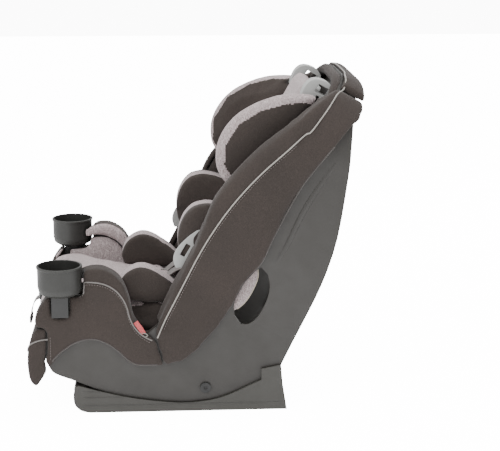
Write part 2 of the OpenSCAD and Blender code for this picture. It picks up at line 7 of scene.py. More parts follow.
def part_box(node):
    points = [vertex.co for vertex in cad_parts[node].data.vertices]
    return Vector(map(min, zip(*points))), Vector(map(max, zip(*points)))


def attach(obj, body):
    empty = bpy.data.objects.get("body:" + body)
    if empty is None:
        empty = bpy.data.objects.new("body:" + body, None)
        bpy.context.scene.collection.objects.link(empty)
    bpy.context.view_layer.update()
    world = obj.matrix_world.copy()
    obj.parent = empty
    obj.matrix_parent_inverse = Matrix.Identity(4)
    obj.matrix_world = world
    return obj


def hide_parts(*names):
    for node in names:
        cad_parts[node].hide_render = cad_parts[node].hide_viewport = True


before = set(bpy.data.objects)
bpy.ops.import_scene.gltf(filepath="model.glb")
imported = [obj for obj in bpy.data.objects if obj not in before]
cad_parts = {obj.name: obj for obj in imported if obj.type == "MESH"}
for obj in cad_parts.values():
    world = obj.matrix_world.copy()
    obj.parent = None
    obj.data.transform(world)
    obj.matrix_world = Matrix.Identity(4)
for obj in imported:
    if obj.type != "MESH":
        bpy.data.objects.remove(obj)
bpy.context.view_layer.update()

bpy.ops.object.select_all(action="DESELECT")

# ---------------------------------------------------------------------------
# Studio: a long lens at the seat's left side and a little above it, a pale
# floor, a white sky and three soft lamps. None of this belongs to the seat.
# ---------------------------------------------------------------------------
view_turn = math.radians(86.6)
view_rise = math.radians(13.0)
lens_back = Vector((math.sin(view_turn) * math.cos(view_rise),
                    -math.cos(view_turn) * math.cos(view_rise), math.sin(view_rise)))
camera_data = bpy.data.cameras.new("studio_camera")
camera_data.lens = 102.96
camera_data.sensor_width = 36.0
camera = bpy.data.objects.new("studio_camera", camera_data)
camera.location = (2.67148, -0.01899, 0.91908)
camera.rotation_euler = lens_back.to_track_quat("Z", "Y").to_euler()
bpy.context.scene.collection.objects.link(camera)
bpy.context.scene.camera = camera

bpy.ops.mesh.primitive_plane_add(size=14.0, location=(0, 0, 0))
floor = bpy.context.object
floor.name = "studio_floor"
floor_paint = bpy.data.materials.new("studio_floor")
floor_paint.use_nodes = True
floor_shader = floor_paint.node_tree.nodes["Principled BSDF"]
floor_shader.inputs["Base Color"].default_value = (0.93, 0.93, 0.93, 1)
floor_shader.inputs["Roughness"].default_value = 0.9
floor_shader.inputs["Emission Color"].default_value = (1.0, 1.0, 1.0, 1)
floor_ray = floor_paint.node_tree.nodes.new("ShaderNodeLightPath")
floor_glow = floor_paint.node_tree.nodes.new("ShaderNodeMapRange")
floor_glow.inputs["To Min"].default_value = 0.8
floor_glow.inputs["To Max"].default_value = 14.0
floor_paint.node_tree.links.new(floor_ray.outputs["Is Camera Ray"], floor_glow.inputs["Value"])
floor_paint.node_tree.links.new(floor_glow.outputs["Result"], floor_shader.inputs["Emission Strength"])
floor.data.materials.append(floor_paint)

sky = bpy.context.scene.world or bpy.data.worlds.new("studio_sky")
bpy.context.scene.world = sky
sky.use_nodes = True
sky_tree = sky.node_tree
sky_light = sky_tree.nodes["Background"]
sky_light.inputs["Color"].default_value = (1.0, 1.0, 1.0, 1)
sky_light.inputs["Strength"].default_value = 1.0
sky_seen = sky_tree.nodes.new("ShaderNodeBackground")
sky_seen.inputs["Strength"].default_value = 14.0
sky_ray = sky_tree.nodes.new("ShaderNodeLightPath")
sky_mix = sky_tree.nodes.new("ShaderNodeMixShader")
sky_tree.links.new(sky_ray.outputs["Is Camera Ray"], sky_mix.inputs[0])
sky_tree.links.new(sky_light.outputs[0], sky_mix.inputs[1])
sky_tree.links.new(sky_seen.outputs[0], sky_mix.inputs[2])
sky_tree.links.new(sky_mix.outputs[0], sky_tree.nodes["World Output"].inputs["Surface"])


def soft_light(name, place, size, power):
    data = bpy.data.lights.new(name, "AREA")
    data.shape = "DISK"
    data.size = size
    data.energy = power
    lamp = bpy.data.objects.new(name, data)
    lamp.location = place
    lamp.rotation_euler = (Vector(place) - Vector((0, 0, 0.3))).to_track_quat("Z", "Y").to_euler()
    bpy.context.scene.collection.objects.link(lamp)


soft_light("key_light", (1.7, -1.5, 2.3), 1.4, 46.0)
soft_light("top_light", (0.2, 0.5, 2.7), 1.8, 44.0)
soft_light("rim_light", (-1.8, 1.6, 1.7), 1.4, 16.0)

# ---------------------------------------------------------------------------
# Base: a low injection-moulded tray of grained plastic that stays on the
# vehicle seat. Every edge is rounded a little, as the mould leaves it.
# ---------------------------------------------------------------------------


class Finish:
    """A new material on Object coordinates, built up node by node."""

    def __init__(self, name):
        self.material = bpy.data.materials.new(name)
        self.material.use_nodes = True
        self.tree = self.material.node_tree
        self.shader = self.tree.nodes["Principled BSDF"]
        self.place = self.add("ShaderNodeTexCoord").outputs["Object"]

    def add(self, kind, **values):
        node = self.tree.nodes.new(kind)
        for key, value in values.items():
            name = key.replace("_", " ")
            if name in node.inputs:
                node.inputs[name].default_value = value
            else:
                setattr(node, key, value)
        return node

    def link(self, output, socket):
        self.tree.links.new(output, socket)

    def noise(self, scale, detail=3.0, stretch=(1, 1, 1)):
        mapping = self.add("ShaderNodeMapping", Scale=stretch)
        self.link(self.place, mapping.inputs["Vector"])
        node = self.add("ShaderNodeTexNoise", Scale=scale, Detail=detail)
        self.link(mapping.outputs["Vector"], node.inputs["Vector"])
        return node.outputs["Fac"]

    def cells(self, scale):
        node = self.add("ShaderNodeTexVoronoi", Scale=scale)
        self.link(self.place, node.inputs["Vector"])
        return node.outputs["Distance"]

    def ramp(self, value, stops):
        node = self.add("ShaderNodeValToRGB")
        elements = node.color_ramp.elements
        while len(elements) < len(stops):
            elements.new(0.5)
        for element, (at, colour) in zip(elements, stops):
            element.position = at
            element.color = (*colour, 1)
        self.link(value, node.inputs["Fac"])
        return node.outputs["Color"]

    def span(self, value, low, high, to_low, to_high):
        node = self.add("ShaderNodeMapRange", From_Min=low, From_Max=high, To_Min=to_low, To_Max=to_high)
        self.link(value, node.inputs["Value"])
        return node.outputs["Result"]

    def mix(self, factor, a, b, blend="MIX"):
        node = self.add("ShaderNodeMix", data_type="RGBA", blend_type=blend)
        for value, socket in ((factor, node.inputs[0]), (a, node.inputs[6]), (b, node.inputs[7])):
            if isinstance(value, bpy.types.NodeSocket):
                self.link(value, socket)
            elif isinstance(value, tuple):
                socket.default_value = (*value, 1)
            else:
                socket.default_value = value
        return node.outputs[2]

    def bump(self, height, strength, distance, under=None):
        node = self.add("ShaderNodeBump", Strength=strength, Distance=distance)
        self.link(height, node.inputs["Height"])
        if under:
            self.link(under, node.inputs["Normal"])
        return node.outputs["Normal"]

    def edges(self, width):
        """1 along edges that rub, 0 elsewhere."""
        node = self.add("ShaderNodeNewGeometry")
        return self.span(node.outputs["Pointiness"], 0.5, 0.5 + width, 0.0, 1.0)

    def finish(self, colour, rough, normal):
        self.link(colour, self.shader.inputs["Base Color"])
        self.link(rough, self.shader.inputs["Roughness"])
        self.link(normal, self.shader.inputs["Normal"])
        return self.material


def moulded(name, colour, rough=0.5, grain=1500.0, light=1.25):
    """Grained moulded plastic, lighter where hands and fabric rub its edges."""
    f = Finish(name)
    dark = tuple(c * 0.9 for c in colour)
    pale = tuple(min(1.0, c * light) for c in colour)
    clouds = f.ramp(f.noise(7.0), [(0.3, dark), (0.7, colour)])
    scuffs = f.ramp(f.noise(60.0, 6.0, (1, 1, 5)), [(0.62, (0, 0, 0)), (0.8, (0.35, 0.35, 0.35))])
    body = f.mix(scuffs, clouds, pale)
    return f.finish(f.mix(f.edges(0.09), body, pale),
                    f.span(f.noise(35.0), 0.3, 0.7, rough - 0.05, rough + 0.08),
                    f.bump(f.noise(grain, 2.0), 0.35, 0.00015))


def give(material, *names):
    for name in names:
        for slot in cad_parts[name].material_slots:
            slot.material = material


def round_edges(width, *names):
    for name in names:
        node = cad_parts[name]
        weld = node.modifiers.new("weld", "WELD")
        weld.merge_threshold = 0.00002
        flat = node.modifiers.new("flat", "DECIMATE")
        flat.decimate_type = "DISSOLVE"
        flat.angle_limit = math.radians(0.5)
        bevel = node.modifiers.new("bevel", "BEVEL")
        bevel.width = width
        bevel.segments = 2
        bevel.limit_method = "ANGLE"
        bevel.angle_limit = math.radians(34)
        for polygon in node.data.polygons:
            polygon.use_smooth = True
        normals = node.modifiers.new("normals", "WEIGHTED_NORMAL")
        normals.keep_sharp = False


base_plastic = moulded("base_plastic", (0.034, 0.0323, 0.0282))
give(base_plastic, "base_tray")
round_edges(0.0012, "base_tray")

# ---------------------------------------------------------------------------
# Recline pivots and ratchet: zinc-plated steel bolts, nuts, toothed racks and
# a sprung latch bar under the seat, with tool marks and dull patches.
# ---------------------------------------------------------------------------


def metal(name, colour, rough):
    f = Finish(name)
    f.shader.inputs["Metallic"].default_value = 0.9
    dull = tuple(c * 0.7 for c in colour)
    return f.finish(f.ramp(f.noise(40.0, 5.0), [(0.35, dull), (0.65, colour)]),
                    f.span(f.noise(180.0, 4.0, (1, 1, 12)), 0.3, 0.7, rough - 0.1, rough + 0.15),
                    f.bump(f.noise(700.0, 2.0, (1, 1, 10)), 0.15, 0.0001))


steel = metal("plated_steel", (0.5, 0.5, 0.5), 0.38)
dark_steel = metal("blackened_steel", (0.06, 0.06, 0.06), 0.42)
give(steel, "pivot_nuts", "recline_racks", "rack_screws", "recline_latch_bar", "headrest_lock_rod",
     "buckle_tongue_left", "buckle_tongue_right", "splitter_plate")
give(dark_steel, "pivot_bolts")
round_edges(0.0005, "recline_racks", "splitter_plate", "pivot_bolts")

# ---------------------------------------------------------------------------
# Seat shell: one large bucket moulding of grey grained plastic. It carries the
# pivots, the belt path and the slots for the headrest and the harness.
# ---------------------------------------------------------------------------
shell_plastic = moulded("shell_plastic", (0.026, 0.0236, 0.0209), rough=0.46)
give(shell_plastic, "seat_shell", "headrest_frame")
round_edges(0.0012, "seat_shell", "headrest_frame")

# ---------------------------------------------------------------------------
# Padded covers: brown woven polyester laminated to foam, pulled over the side
# walls, rolled inwards over their edges and closed by hidden elastic hems.
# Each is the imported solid, remeshed, softened and blown up like a sewn pad.
# ---------------------------------------------------------------------------


def cloth(name, dark, mid, pale, fleck=0.35, sheen=0.25, thread=1150.0):
    """A woven cover cloth: fine threads, flecks of paler yarn, soft worn patches and a low sheen."""
    f = Finish(name)
    f.shader.inputs["Sheen Weight"].default_value = sheen
    f.shader.inputs["Sheen Roughness"].default_value = 0.45
    f.shader.inputs["Specular IOR Level"].default_value = 0.2
    threads = f.noise(thread, 2.0)
    yarn = f.ramp(threads, [(0.34, dark), (0.5, mid), (0.68, pale)])
    patches = f.ramp(f.noise(9.0, 4.0), [(0.35, (0.9, 0.9, 0.9)), (0.7, (1.06, 1.05, 1.04))])
    worn = f.mix(1.0, yarn, patches, "MULTIPLY")
    flecks = f.ramp(f.noise(thread * 0.45, 1.0, (1, 1, 0.35)), [(0.58, (0, 0, 0)), (0.7, (fleck,) * 3)])
    weave = f.bump(f.cells(thread * 1.3), 0.5, 0.0004)
    return f.finish(f.mix(flecks, worn, pale), f.span(threads, 0.3, 0.7, 0.82, 0.97),
                    f.bump(f.noise(55.0, 3.0), 0.22, 0.0012, weave))


BROWN = (0.040, 0.032, 0.0285)
brown_cloth = cloth("brown_cloth", (0.029, 0.0228, 0.0202), BROWN, (0.058, 0.0475, 0.043), 0.18, 0.12)
heather_cloth = cloth("heather_cloth", (0.156, 0.12, 0.122), (0.35, 0.29, 0.29), (0.6, 0.53, 0.53), 0.6, 0.2,
                      820.0)


def tree_of(*objects):
    """One search tree over the meshes of some objects or CAD nodes."""
    points, faces = [], []
    for thing in objects:
        start = len(points)
        points += [v.co.copy() for v in thing.data.vertices]
        faces += [[start + i for i in p.vertices] for p in thing.data.polygons]
    return BVHTree.FromPolygons(points, faces)


def use(thing):
    bpy.ops.object.select_all(action="DESELECT")
    thing.select_set(True)
    bpy.context.view_layer.objects.active = thing


def apply_all(thing):
    use(thing)
    for modifier in list(thing.modifiers):
        bpy.ops.object.modifier_apply(modifier=modifier.name)


def copy_solid(node_name, piece_name):
    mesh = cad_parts[node_name].data.copy()
    mesh.materials.clear()
    piece = bpy.data.objects.new(piece_name, mesh)
    bpy.context.scene.collection.objects.link(piece)
    use(piece)
    bpy.ops.object.mode_set(mode="EDIT")
    bpy.ops.mesh.select_all(action="SELECT")
    bpy.ops.mesh.remove_doubles(threshold=0.00001)
    bpy.ops.object.mode_set(mode="OBJECT")
    return piece


def belong(piece, body, slot_name, *nodes):
    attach(piece, body)
    if nodes:
        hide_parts(*nodes)


def stuffed(node_name, piece_name, voxel, held_by=(), reach=0.004, soften=8, swell=0.008, pressure=4.0,
            stiff=15.0):
    """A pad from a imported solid: edges softened, then blown up where nothing holds it."""
    piece = copy_solid(node_name, piece_name)
    remesh = piece.modifiers.new("remesh", "REMESH")
    remesh.mode = "VOXEL"
    remesh.voxel_size = voxel
    apply_all(piece)
    free = piece.vertex_groups.new(name="free")
    held = piece.vertex_groups.new(name="held")
    support = tree_of(*[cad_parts[n] for n in held_by]) if held_by else None
    for vertex in piece.data.vertices:
        near = support.find_nearest(vertex.co, reach) if support else (None,)
        (held if near[0] is not None else free).add([vertex.index], 1.0, "REPLACE")
    smooth = piece.modifiers.new("soften", "SMOOTH")
    smooth.factor = 0.5
    smooth.iterations = soften
    smooth.vertex_group = "free"
    apply_all(piece)
    start = [v.co.copy() for v in piece.data.vertices]
    sim = piece.modifiers.new("cloth", "CLOTH")
    sim.settings.quality = 4
    sim.settings.use_pressure = True
    sim.settings.uniform_pressure_force = pressure
    sim.settings.tension_stiffness = stiff
    sim.settings.compression_stiffness = stiff
    sim.settings.bending_stiffness = 0.6
    sim.settings.effector_weights.gravity = 0.0
    sim.settings.vertex_group_mass = "held"
    sim.collision_settings.use_collision = False
    sim.point_cache.frame_start = 1
    sim.point_cache.frame_end = 20
    for step in range(1, 21):
        bpy.context.scene.frame_set(step)
    shown = piece.evaluated_get(bpy.context.evaluated_depsgraph_get())
    ends = [v.co.copy() for v in shown.data.vertices]
    piece.modifiers.remove(sim)
    for vertex, first, last in zip(piece.data.vertices, start, ends):
        move = last - first
        if move.length > swell:
            move *= swell / move.length
        vertex.co = first + move
    bpy.context.scene.frame_set(1)
    piece.data.update()
    ease = piece.modifiers.new("ease", "SMOOTH")
    ease.factor = 0.4
    ease.iterations = 2
    finer = piece.modifiers.new("finer", "SUBSURF")
    finer.levels = finer.render_levels = 1
    apply_all(piece)
    piece.vertex_groups.clear()
    bpy.ops.object.shade_smooth()
    return piece


def other_side(piece, name):
    """The same sewn piece for the right side, with its own mesh."""
    twin = piece.copy()
    twin.data = piece.data.copy()
    twin.name = name
    bpy.context.scene.collection.objects.link(twin)
    use(twin)
    bpy.ops.object.mode_set(mode="EDIT")
    bpy.ops.mesh.select_all(action="SELECT")
    bpy.ops.transform.resize(value=(-1, 1, 1), center_override=(0, 0, 0))
    bpy.ops.mesh.normals_make_consistent(inside=False)
    bpy.ops.object.mode_set(mode="OBJECT")
    return twin


def pad_pair(node_stem, piece_stem, material, slot_name, body, fill, **how):
    left = stuffed(node_stem + "_left", piece_stem + "_left", **how)
    left.data.materials.append(material)
    right = other_side(left, piece_stem + "_right")
    for piece, side in ((left, "left"), (right, "right")):
        belong(piece, body, slot_name, node_stem + "_" + side)
    return left, right


def pad_single(node_name, piece_name, material, slot_name, body, fill, **how):
    piece = stuffed(node_name, piece_name, **how)
    piece.data.materials.append(material)
    belong(piece, body, slot_name, node_name)
    return piece


back_pads = pad_pair("back_cover", "back_cover_pad", brown_cloth, "brown_fabric", "seat", 0.5,
                     voxel=0.006, held_by=("seat_shell",), soften=7, swell=0.005)
thigh_pads = pad_pair("thigh_bolster", "thigh_pad", brown_cloth, "brown_fabric", "seat", 0.6,
                      voxel=0.005, held_by=("seat_shell",), soften=7, swell=0.006)
side_liners = pad_pair("side_foam", "side_liner", brown_cloth, "brown_fabric", "seat", 0.4,
                       voxel=0.006, held_by=("seat_shell",), soften=3, swell=0.001)
crown_pad = pad_single("crown_cover", "crown_pad", brown_cloth, "brown_fabric", "seat", 0.6,
                       voxel=0.005, held_by=("seat_shell",), soften=6, swell=0.006)
apron_pad = pad_single("front_apron", "apron_pad", brown_cloth, "brown_fabric", "seat", 0.5,
                       voxel=0.005, held_by=("seat_shell",), soften=5, swell=0.0015)

# ---------------------------------------------------------------------------
# Insert and bolsters: a softer seat and back cushion in heather cloth, hip and
# torso bolsters with brown outsides, and the pad rolled in behind the belt path.
# ---------------------------------------------------------------------------
cushion = pad_single("seat_cushion", "seat_cushion_pad", heather_cloth, "heather_fabric", "seat", 0.6,
                     voxel=0.006, held_by=("seat_shell",), soften=7, swell=0.007)
pad_single("backrest_pad", "backrest_cushion", heather_cloth, "heather_fabric", "seat", 0.5,
           voxel=0.006, held_by=("seat_shell",), soften=5, swell=0.003)
hip_pads = pad_pair("hip_bolster", "hip_pad", brown_cloth, "brown_fabric", "seat", 0.8,
                    voxel=0.005, soften=10, swell=0.010)
torso_pads = pad_pair("torso_bolster", "torso_pad", brown_cloth, "brown_fabric", "seat", 0.8,
                      voxel=0.005, soften=10, swell=0.009)
path_rolls = pad_pair("belt_path_roll", "belt_path_pad", heather_cloth, "heather_fabric", "seat", 0.7,
                      voxel=0.005, soften=6, swell=0.004)

# ---------------------------------------------------------------------------
# Headrest: a thin heather pad between two deep foam wings. Both faces of a wing
# are brown, with a strip of heather cloth sewn round its front rim.
# ---------------------------------------------------------------------------
pad_single("headrest_pad", "headrest_cushion", heather_cloth, "heather_fabric", "headrest", 0.6,
           voxel=0.005, soften=5, swell=0.004)
wing_pads = pad_pair("headrest_wing", "headrest_wing_pad", brown_cloth, "brown_fabric", "headrest", 0.8,
                     voxel=0.005, soften=9, swell=0.006)


def panel_of(piece, material, chosen):
    """Sews a panel of another cloth over the faces that chosen picks."""
    piece.data.materials.append(material)
    last = len(piece.data.materials) - 1
    for polygon in piece.data.polygons:
        if chosen(polygon.center, polygon.normal):
            polygon.material_index = last


LEAN = math.radians(29.5)
ARCH_ACROSS, ARCH_UP = 0.066, 0.390
HIP = (-0.020, 0.175)


def up_back(across, s, t):
    """The place s up the backrest and t behind its line, in metres."""
    return Vector((across, HIP[0] + s * math.sin(LEAN) + t * math.cos(LEAN),
                   HIP[1] + s * math.cos(LEAN) - t * math.sin(LEAN)))


def smooth_line(points, steps):
    """A smooth line through points, with steps pieces between each two."""
    line = []
    for i in range(len(points) - 1):
        a, b = points[max(i - 1, 0)], points[i]
        c, d = points[i + 1], points[min(i + 2, len(points) - 1)]
        for j in range(steps):
            u = j / steps
            line.append(0.5 * (2 * b + (c - a) * u + (2 * a - 5 * b + 4 * c - d) * u * u
                               + (3 * b - a - 3 * c + d) * u * u * u))
    return line + [points[-1]]


WING_EDGE = [(0.0437, 0.270), (0.010, 0.262), (-0.022, 0.260), (-0.056, 0.280), (-0.075, 0.320),
             (-0.072, 0.372), (-0.047, 0.416), (-0.012, 0.450), (0.024, 0.472), (0.0437, 0.476)]
OUTER_STRIP, INNER_STRIP = 0.015, 0.004


def from_wing_edge(place):
    """How far a place lies from the outline of the wing, seen from its side."""
    rise, depth = place.z - HIP[1], place.y - HIP[0]
    here = Vector((depth * math.cos(LEAN) - rise * math.sin(LEAN),
                   depth * math.sin(LEAN) + rise * math.cos(LEAN)))
    far = 1.0
    for a, b in zip(WING_EDGE, WING_EDGE[1:]):
        a, run = Vector(a), Vector(b) - Vector(a)
        along = min(1.0, max(0.0, (here - a).dot(run) / run.length_squared))
        far = min(far, (here - a - run * along).length)
    return far


for pad, out in zip(wing_pads, (1, -1)):
    panel_of(pad, heather_cloth,
             lambda c, n, out=out: from_wing_edge(c) < (OUTER_STRIP if n.x * out > 0.0 else INNER_STRIP))
HIP_BAND, TORSO_BAND = (0.112, 0.150), (0.126, 0.158)
for pads, (near, far) in ((hip_pads, HIP_BAND), (torso_pads, TORSO_BAND)):
    for pad in pads:
        panel_of(pad, heather_cloth, lambda c, n, near=near, far=far: near < abs(c.x) < far and n.z > -0.2)
for pad, out in zip(thigh_pads, (1, -1)):
    panel_of(pad, heather_cloth,
             lambda c, n, out=out: c.x * out < 0.176 and n.x * out < -0.35 and c.y > -0.245)
for pad, out in zip(side_liners, (1, -1)):
    panel_of(pad, heather_cloth, lambda c, n, out=out: n.x * out < -0.5 and c.y < -0.1)
panel_of(cushion, brown_cloth, lambda c, n: abs(n.x) > 0.5)

# ---------------------------------------------------------------------------
# Piping: satin cord sewn into the seams of the covers. The line on the back
# covers runs from the thigh seam over the crown and down the other side.
# ---------------------------------------------------------------------------


def satin(name, colour):
    """Cord and thread with a fine twist and a soft shine."""
    f = Finish(name)
    f.shader.inputs["Sheen Weight"].default_value = 0.3
    dark = tuple(c * 0.72 for c in colour)
    twist = f.noise(1300.0, 1.0, (1, 1, 0.4))
    return f.finish(f.ramp(twist, [(0.4, dark), (0.6, colour)]), f.span(twist, 0.3, 0.7, 0.45, 0.62),
                    f.bump(twist, 0.5, 0.0003))


pale_piping = satin("pale_piping", (0.34, 0.32, 0.29))
grey_piping = satin("grey_piping", (0.17, 0.156, 0.147))
brown_piping = satin("brown_piping", (0.045, 0.036, 0.033))
cream_piping = satin("cream_piping", (0.55, 0.48, 0.38))
thread_satin = satin("seam_thread", (0.15, 0.125, 0.118))


def tube(name, line, radius, material, body, slot_name):
    """A sewn cord of one radius along a line, as a closed mesh."""
    curve = bpy.data.curves.new(name, "CURVE")
    curve.dimensions = "3D"
    curve.bevel_depth = radius
    curve.bevel_resolution = 3
    curve.use_fill_caps = True
    spline = curve.splines.new("POLY")
    spline.points.add(len(line) - 1)
    for point, place in zip(spline.points, line):
        point.co = (*place, 1)
    piece = bpy.data.objects.new(name, curve)
    bpy.context.scene.collection.objects.link(piece)
    use(piece)
    bpy.ops.object.convert(target="MESH")
    piece = bpy.context.object
    piece.data.materials.clear()
    piece.data.materials.append(material)
    bpy.ops.object.shade_smooth()
    belong(piece, body, slot_name)
    return piece


def lay_on(surface, line, lift, passes=3):
    """Moves a line onto the nearest cloth, lift proud of it, and evens it out."""
    laid = []
    for place in line:
        near, normal = surface.find_nearest(place)[:2]
        laid.append(near + normal * lift)
    for turn in range(passes):
        laid = [laid[0]] + [(a + 2 * b + c) / 4 for a, b, c in zip(laid, laid[1:], laid[2:])] + [laid[-1]]
    return laid


def outward_of(place):
    """The way out of the cover's side, or over its rounded top, at a place."""
    up = Vector((0.0, math.sin(LEAN), math.cos(LEAN)))
    high = (place - Vector((0.0, *HIP))).dot(up) - ARCH_UP
    if high <= 0.0:
        return Vector((math.copysign(1.0, place.x), 0.0, 0.0))
    across = math.copysign(max(abs(place.x) - ARCH_ACROSS, 0.0), place.x)
    return (Vector((across, 0.0, 0.0)) + up * high).normalized()


def drop_on(surface, line, lift, passes=2):
    """Lays a line on the cloth from outside, lift proud of it, and evens it out."""
    laid = []
    rearward = Vector((0.0, math.cos(LEAN), -math.sin(LEAN)))
    for place in line:
        out = outward_of(place)
        for step in range(10):
            start = place + out * 0.05 + rearward * (0.003 * step)
            hit = surface.ray_cast(start, -out, 0.075)[0]
            if hit is not None:
                laid.append(hit + out * lift)
                break
    for turn in range(passes):
        laid = [laid[0]] + [(a + 2 * b + c) / 4 for a, b, c in zip(laid, laid[1:], laid[2:])] + [laid[-1]]
    return laid


def both_sides(name, line, radius, material, body, slot_name):
    for side, end in ((1, "_left"), (-1, "_right")):
        tube(name + end, [Vector((p.x * side, p.y, p.z)) for p in line], radius, material, body, slot_name)


back_side = [(-0.039, 0.0), (0.004, -0.005), (0.067, -0.008), (0.154, -0.012), (0.232, -0.007),
             (0.311, 0.010), (0.373, 0.0315), (0.415, 0.047)]
piping_guide = [up_back(0.215 if s > 0.1 else 0.206 + s * 0.09, s, t) for s, t in back_side]
for turn, t in ((12, 0.053), (28, 0.0605), (44, 0.066), (60, 0.0695), (76, 0.071), (90, 0.0715)):
    angle = math.radians(turn)
    piping_guide.append(up_back(0.066 + 0.153 * math.cos(angle), 0.390 + 0.153 * math.sin(angle), t))
half_line = smooth_line(piping_guide + [up_back(0.0, 0.543, 0.072)], 8)
back_line = half_line + [Vector((-p.x, p.y, p.z)) for p in reversed(half_line[:-1])]
back_cloth = tree_of(*back_pads, crown_pad)
tube("back_piping", drop_on(back_cloth, back_line, 0.0010, 6), 0.0013, pale_piping, "seat", "brown_fabric")

thigh_cloth = tree_of(thigh_pads[0])
thigh_line = smooth_line([Vector((0.203, y, z)) for y, z in (
    (-0.200, 0.236), (-0.190, 0.2415), (-0.172, 0.2475), (-0.150, 0.248), (-0.130, 0.2435), (-0.112, 0.232),
    (-0.100, 0.216), (-0.093, 0.200), (-0.089, 0.182), (-0.080, 0.162), (-0.066, 0.147), (-0.049, 0.137))], 6)
both_sides("thigh_piping", drop_on(thigh_cloth, thigh_line, 0.0007), 0.0012, grey_piping, "seat",
           "brown_fabric")
apron_cloth = tree_of(apron_pad, thigh_pads[0])
apron_line = smooth_line([Vector((0.185, -0.282, 0.118)), Vector((0.196, -0.276, 0.128)),
                          Vector((0.203, -0.262, 0.1375)), Vector((0.204, -0.248, 0.142)),
                          Vector((0.204, -0.238, 0.1425))], 6)
both_sides("apron_piping", lay_on(apron_cloth, apron_line, 0.0006), 0.0014, grey_piping, "seat",
           "brown_fabric")

hem_cloth = tree_of(back_pads[0])
hem_guide = smooth_line([up_back(0.215, s, t) for s, t in (
    (0.10, 0.0875), (0.132, 0.086), (0.172, 0.094), (0.224, 0.089), (0.318, 0.086), (0.380, 0.094),
    (0.420, 0.102))], 8)
both_sides("back_hem", drop_on(hem_cloth, hem_guide, 0.0001), 0.0013, brown_piping, "seat", "brown_fabric")
thigh_hem = smooth_line([Vector((0.205, y, z)) for y, z in (
    (-0.228, 0.100), (-0.215, 0.114), (-0.189, 0.132), (-0.160, 0.1405), (-0.135, 0.1335), (-0.112, 0.117),
    (-0.092, 0.098), (-0.072, 0.090), (-0.040, 0.0895))], 6)
both_sides("thigh_hem", lay_on(thigh_cloth, thigh_hem, 0.0001), 0.0013, brown_piping, "seat", "brown_fabric")

# ---------------------------------------------------------------------------
# Seams: rows of small lock stitches beside the piping and down the panels,
# each stitch a short bead of brown thread pulled into the cloth.
# ---------------------------------------------------------------------------


def stitched(name, line, pitch, body, slot_name, material=thread_satin, long=0.0032, thick=0.0006):
    """One mesh of equal stitches along a line."""
    bpy.ops.object.select_all(action="DESELECT")
    bpy.ops.mesh.primitive_uv_sphere_add(segments=6, ring_count=4, radius=1.0)
    bead = bpy.context.object
    template = bead.data
    points = [v.co.copy() for v in template.vertices]
    faces = [tuple(p.vertices) for p in template.polygons]
    places, shapes = [], []
    spare = 0.0
    for a, b in zip(line, line[1:]):
        run = (b - a).length
        turn = (b - a).to_track_quat("X", "Z") if run > 0 else None
        at = pitch - spare
        while at <= run:
            centre = a.lerp(b, at / run)
            start = len(places)
            places += [centre + turn @ Vector((p.x * long / 2, p.y * thick, p.z * thick)) for p in points]
            shapes += [tuple(start + i for i in face) for face in faces]
            at += pitch
        spare = (spare + run) % pitch
    mesh = bpy.data.meshes.new(name)
    mesh.from_pydata(places, [], shapes)
    mesh.materials.append(material)
    piece = bpy.data.objects.new(name, mesh)
    bpy.context.scene.collection.objects.link(piece)
    bpy.data.objects.remove(bead)
    use(piece)
    bpy.ops.object.shade_smooth()
    belong(piece, body, slot_name)
    return piece


def stitched_sides(name, line, pitch, body, slot_name):
    for side, end in ((1, "_left"), (-1, "_right")):
        stitched(name + end, [Vector((p.x * side, p.y, p.z)) for p in line], pitch, body, slot_name)


beside = [p + Vector((0.0, 0.0042, -0.0024)) for p in half_line[4:52]]
stitched_sides("back_seam", drop_on(back_cloth, beside, 0.0002), 0.0048, "seat", "brown_fabric")
below = [p + Vector((0.0, -0.001, -0.0045)) for p in thigh_line]
stitched_sides("thigh_seam", drop_on(thigh_cloth, below, 0.0002), 0.0048, "seat", "brown_fabric")
front_seam = smooth_line([Vector((0.204, -0.2365, z)) for z in (0.150, 0.135, 0.120, 0.105)], 5)
stitched_sides("apron_seam", lay_on(apron_cloth, [p + Vector((0, 0.005, 0)) for p in front_seam], 0.0002),
               0.0048, "seat", "brown_fabric")

# ---------------------------------------------------------------------------
# Harness: 38 mm polyester webbing over the shoulders, through the chest clip
# and the buckle tongues to the hips, and down behind the shell to its splitter.
# ---------------------------------------------------------------------------


def webbing_cloth(name, dark, pale):
    """Ribbed webbing: the ribs follow the strap's own map, across and along it."""
    f = Finish(name)
    f.shader.inputs["Sheen Weight"].default_value = 0.35
    own = f.add("ShaderNodeUVMap").outputs["UV"]
    ribs = f.add("ShaderNodeTexWave", Scale=3.4, wave_type="BANDS", bands_direction="X")
    f.link(own, ribs.inputs["Vector"])
    picks = f.add("ShaderNodeTexWave", Scale=260.0, wave_type="BANDS", bands_direction="Y")
    f.link(own, picks.inputs["Vector"])
    both = f.add("ShaderNodeMath", operation="MULTIPLY")
    f.link(ribs.outputs["Fac"], both.inputs[0])
    f.link(picks.outputs["Fac"], both.inputs[1])
    tone = f.ramp(f.noise(500.0, 3.0), [(0.35, dark), (0.65, pale)])
    return f.finish(tone, f.span(f.noise(90.0), 0.3, 0.7, 0.6, 0.8),
                    f.bump(both.outputs["Value"], 0.6, 0.0004))


harness_web = webbing_cloth("harness_webbing", (0.07, 0.058, 0.052), (0.125, 0.105, 0.096))


